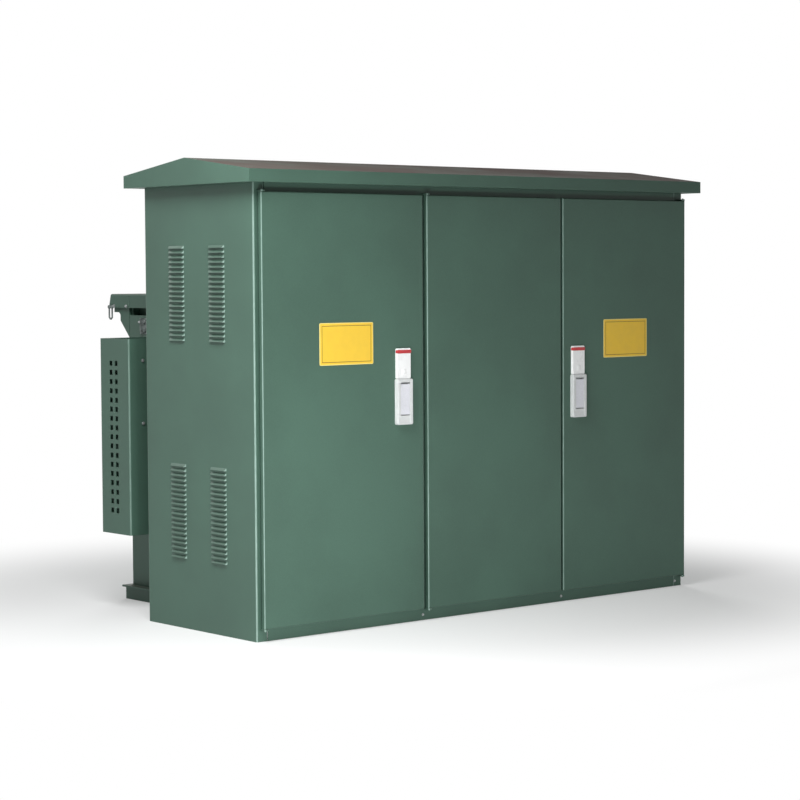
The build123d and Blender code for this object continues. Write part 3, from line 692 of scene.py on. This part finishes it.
def yellow_plate(name, door, body, from_left, from_bottom, width, height):
    """A thin plate with round corners, a highlight painted on its rim and a border line, fixed on a
    door's face.
    """
    door_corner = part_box(door)[0]
    middle_x = door_corner.x + from_left + width / 2
    middle_z = door_corner.z + from_bottom + height / 2
    place = (middle_x, door_corner.y - plate_thickness, middle_z)
    plate = start_sheet(name, place, width, height)
    for finish in (plate_rim_highlight, plate_yellow):
        plate.data.materials.append(finish)
    bpy.ops.object.mode_set(mode="EDIT")
    bpy.ops.mesh.select_all(action="SELECT")
    bpy.ops.mesh.bevel(offset=corner_radius, segments=3, affect="VERTICES")
    bpy.ops.mesh.select_all(action="SELECT")
    # The ring that the inset leaves keeps the first finish, the painted highlight.
    bpy.ops.mesh.inset(thickness=rim_width)
    plate.active_material_index = 1
    bpy.ops.object.material_slot_assign()
    bpy.ops.object.mode_set(mode="OBJECT")
    thick = plate.modifiers.new("thick", "SOLIDIFY")
    thick.thickness = plate_thickness
    thick.offset = -1
    bpy.ops.object.modifier_apply(modifier="thick")
    line = border_line(place, width, height)
    return hand_over(join_pieces(name, [plate, line]), body)


yellow_plate(
    "left_plate", "left_door", "left_door_leaf",
    from_left=0.267, from_bottom=0.980, width=0.260, height=0.160,
)
yellow_plate(
    "right_plate", "right_door", "right_door_leaf",
    from_left=0.235, from_bottom=0.968, width=0.259, height=0.160,
)

# %% [markdown]
# ## Handles
# A red band goes round the top of each white cover, and at the cover's foot is a flap over the
# keyhole. On the lever's front a pale raised strip runs along the right edge. Each is a box with
# bevelled edges, placed from the box of the cover or lever, so that it sits on it.

# %% Put a red band on each cover
band_red = plain_finish(
    "band_red", (0.50, 0.035, 0.04), variation=0.05, roughness=0.35, grain_scale=60, bump=0.05,
)
band_under_top = Vector((-0.0006, -0.0016, -0.0205))
band_past_corner = Vector((0.0024, 0, -0.0050))
for side in ("left", "right"):
    cover_low, cover_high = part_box(side + "_handle_cover")
    left_front_top = Vector((cover_low.x, cover_low.y, cover_high.z))
    band = start_box(
        side + "_red_band", left_front_top + band_under_top, cover_high + band_past_corner
    )
    round_edges(band, width=0.0038, segments=3)
    hand_over(band, side + "_door_leaf", [band_red])

# %% Put a key flap on each cover
flap_width = 0.023
flap_proud = 0.0009
flap_sunk = 0.002
flap_foot = 0.016
flap_top = 0.038
for side in ("left", "right"):
    cover_low, cover_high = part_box(side + "_handle_cover")
    middle = (cover_low.x + cover_high.x) / 2
    flap = start_box(
        side + "_key_flap",
        (middle - flap_width / 2, cover_low.y - flap_proud, cover_low.z + flap_foot),
        (middle + flap_width / 2, cover_low.y + flap_sunk, cover_low.z + flap_top),
    )
    round_edges(flap, width=0.0008)
    hand_over(flap, side + "_door_leaf", [handle_cover])

# %% Put a strip on each lever
strip_outer_gap = 0.0045
strip_width = 0.004
strip_proud = 0.0012
strip_sunk = 0.002
strip_foot = 0.034
strip_top_gap = 0.006
for side in ("left", "right"):
    lever_low, lever_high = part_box(side + "_lever")
    strip_right = lever_high.x - strip_outer_gap
    strip = start_box(
        side + "_lever_strip",
        (strip_right - strip_width, lever_low.y - strip_proud, lever_low.z + strip_foot),
        (strip_right, lever_low.y + strip_sunk, lever_high.z - strip_top_gap),
    )
    round_edges(strip, width=0.0009)
    hand_over(strip, side + "_lever_arm", [handle_cover])

# %% [markdown]
# ## Bolts
# The real thing is held by hexagon bolts with washers: along the sill, on the guards' front
# edges, on the side of the lid, and on every flange inside. A bolt is a round washer and a
# six-sided head, both with bevelled edges, and its measures are shares of the head's radius. It
# is made once for each row and copied, since all in a row are equal.


# %% Make a bolt
washer_radius = 1.25
washer_depth = 0.28
washer_sunk = 0.1
washer_bevel = 0.06
head_depth = 0.85
head_bevel = 0.13


def hex_bolt(place, outward, size):
    """A hexagon head on a washer; size is the head's radius over its corners."""
    direction = Vector(outward).normalized()
    foot = Vector(place) - direction * size * washer_sunk
    washer = start_round("washer", foot, direction, size * washer_radius, size * washer_depth, 20)
    round_edges(washer, size * washer_bevel, segments=1)
    head = start_round("head", place, direction, size, size * head_depth, 6)
    round_edges(head, size * head_bevel)
    return join_pieces("bolt", [washer, head])


def copy_of(piece, shift):
    """A copy with its own mesh, moved by a shift that goes into that mesh."""
    pick(piece)
    bpy.ops.object.duplicate()
    copy = bpy.context.object
    copy.location = shift
    bpy.ops.object.transform_apply(location=True, rotation=True, scale=True)
    return copy


def bolt_row(name, outward, size, places):
    """Several equal bolts as one piece."""
    first = hex_bolt(places[0], outward, size)
    shifts = [Vector(place) - Vector(places[0]) for place in places[1:]]
    bolts = [first] + [copy_of(first, shift) for shift in shifts]
    return hand_over(join_pieces(name, bolts), "enclosure", [bolt_zinc])


front = (0, -1, 0)
print("bolt helpers ready")

# %% Bolts on the sill
sill_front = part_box("sill")[0].y
sill_bolt_size = 0.0048
sill_bolt_height = 0.022
sill_bolt_middles = (-0.338, 0.419, 1.106)
sill_places = [(x, sill_front, sill_bolt_height) for x in sill_bolt_middles]
bolt_row("sill_bolts", front, sill_bolt_size, sill_places)
print("sill bolts:", len(sill_places))

# %% Bolts on the guards and the lid
outside_bolt_size = 0.006
guard_edge_gap = 0.067
guard_bolt_heights = (0.767, 1.020)
lid_bolt_rise = 0.007
lid_bolt_middles = (0.545, 0.637)
lid_low, lid_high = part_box("tank_lid")
lid_edge = max(abs(lid_low.x), abs(lid_high.x))
sides = (("left", -1), ("right", 1))
for side, sign in sides:
    guard_low, guard_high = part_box(side + "_guard")
    guard_x = sign * (max(abs(guard_low.x), abs(guard_high.x)) - guard_edge_gap)
    guard_places = [(guard_x, guard_low.y, z) for z in guard_bolt_heights]
    bolt_row(side + "_guard_bolts", front, outside_bolt_size, guard_places)
    lid_places = [(sign * lid_edge, y, lid_low.z + lid_bolt_rise) for y in lid_bolt_middles]
    bolt_row(side + "_lid_bolts", (sign, 0, 0), outside_bolt_size, lid_places)

# %% [markdown]
# ## Lid seams and bracket studs
# A short upright seam closes the lid's rim on each side. Behind each bracket a stud sticks out
# through a nut that stands against the bracket's rear face. All start as round bars, and the nut
# is one with six sides.

# %% Seam on each side of the lid
seam_place_y = 0.527
seam_rise = 0.005
for side, sign in sides:
    seam_foot = (sign * lid_edge, seam_place_y, lid_low.z + seam_rise)
    seam = start_round(side + "_lid_seam", seam_foot, (0, 0, 1), radius=0.0018, depth=0.043, sides=8)
    hand_over(seam, "enclosure", [tank_paint])

# %% Stud and nut behind each bracket
stud_edge_gap = 0.012
stud_height = 1.167
stud_sunk = 0.004
backwards = (0, 1, 0)
bracket_low, bracket_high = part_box("tank_brackets")
for side, sign in sides:
    stud_x = sign * (max(abs(bracket_low.x), abs(bracket_high.x)) - stud_edge_gap)
    stud_foot = (stud_x, bracket_high.y - stud_sunk, stud_height)
    stud = start_round("stud", stud_foot, backwards, radius=0.0045, depth=0.030, sides=16)
    round_edges(stud, width=0.0008, segments=1)
    nut_foot = (stud_x, bracket_high.y, stud_height)
    nut = start_round("nut", nut_foot, backwards, radius=0.009, depth=0.008, sides=6)
    round_edges(nut, width=0.001)
    studded = join_pieces(side + "_bracket_stud", [stud, nut])
    hand_over(studded, "enclosure", [bolt_zinc])

# %% [markdown]
# ## Bolts behind the doors
# Each bushing stands on a square flange with a bolt in every corner, and each low-voltage
# terminal has two bolts for the cable lugs. The places come from the boxes of the bushings: equal
# ones stand in a row, so the row's box and their number give every middle.


# %% Bolts on the flanges
def row_middles(node, count):
    """The middles of equal forms in a row, and half the width of one, which is as high as wide."""
    low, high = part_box(node)
    half = (high.z - low.z) / 2
    step = (high.x - low.x - 2 * half) / (count - 1)
    return [(low.x + half + number * step, (low.z + high.z) / 2) for number in range(count)], half


flange_thickness = 0.012
flange_bolt_size = 0.0065
bolt_from_edge = 0.0135
flange_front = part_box("tank")[0].y - flange_thickness
for node, count in (("hv_bushings", 3), ("lv_bushings", 4)):
    middles, half = row_middles(node, count)
    corner = half - bolt_from_edge
    flange_places = [
        (x + side * corner, flange_front, z + rise * corner)
        for x, z in middles for side in (-1, 1) for rise in (-1, 1)
    ]
    bolt_row(node.replace("bushings", "flange_bolts"), front, flange_bolt_size, flange_places)
    print(node, "stand on flanges", round(2 * half, 4), "m wide")

# %% Bolts on the low-voltage terminals
lug_bolt_size = 0.0095
lug_bolt_rises = (0.022, 0.060)
terminal_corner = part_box("lv_terminals")[0]
terminal_places = [
    (middle[0], terminal_corner.y, terminal_corner.z + rise)
    for middle in row_middles("lv_bushings", 4)[0] for rise in lug_bolt_rises
]
bolt_row("terminal_bolts", front, lug_bolt_size, terminal_places)
print("terminal bolts:", len(terminal_places))
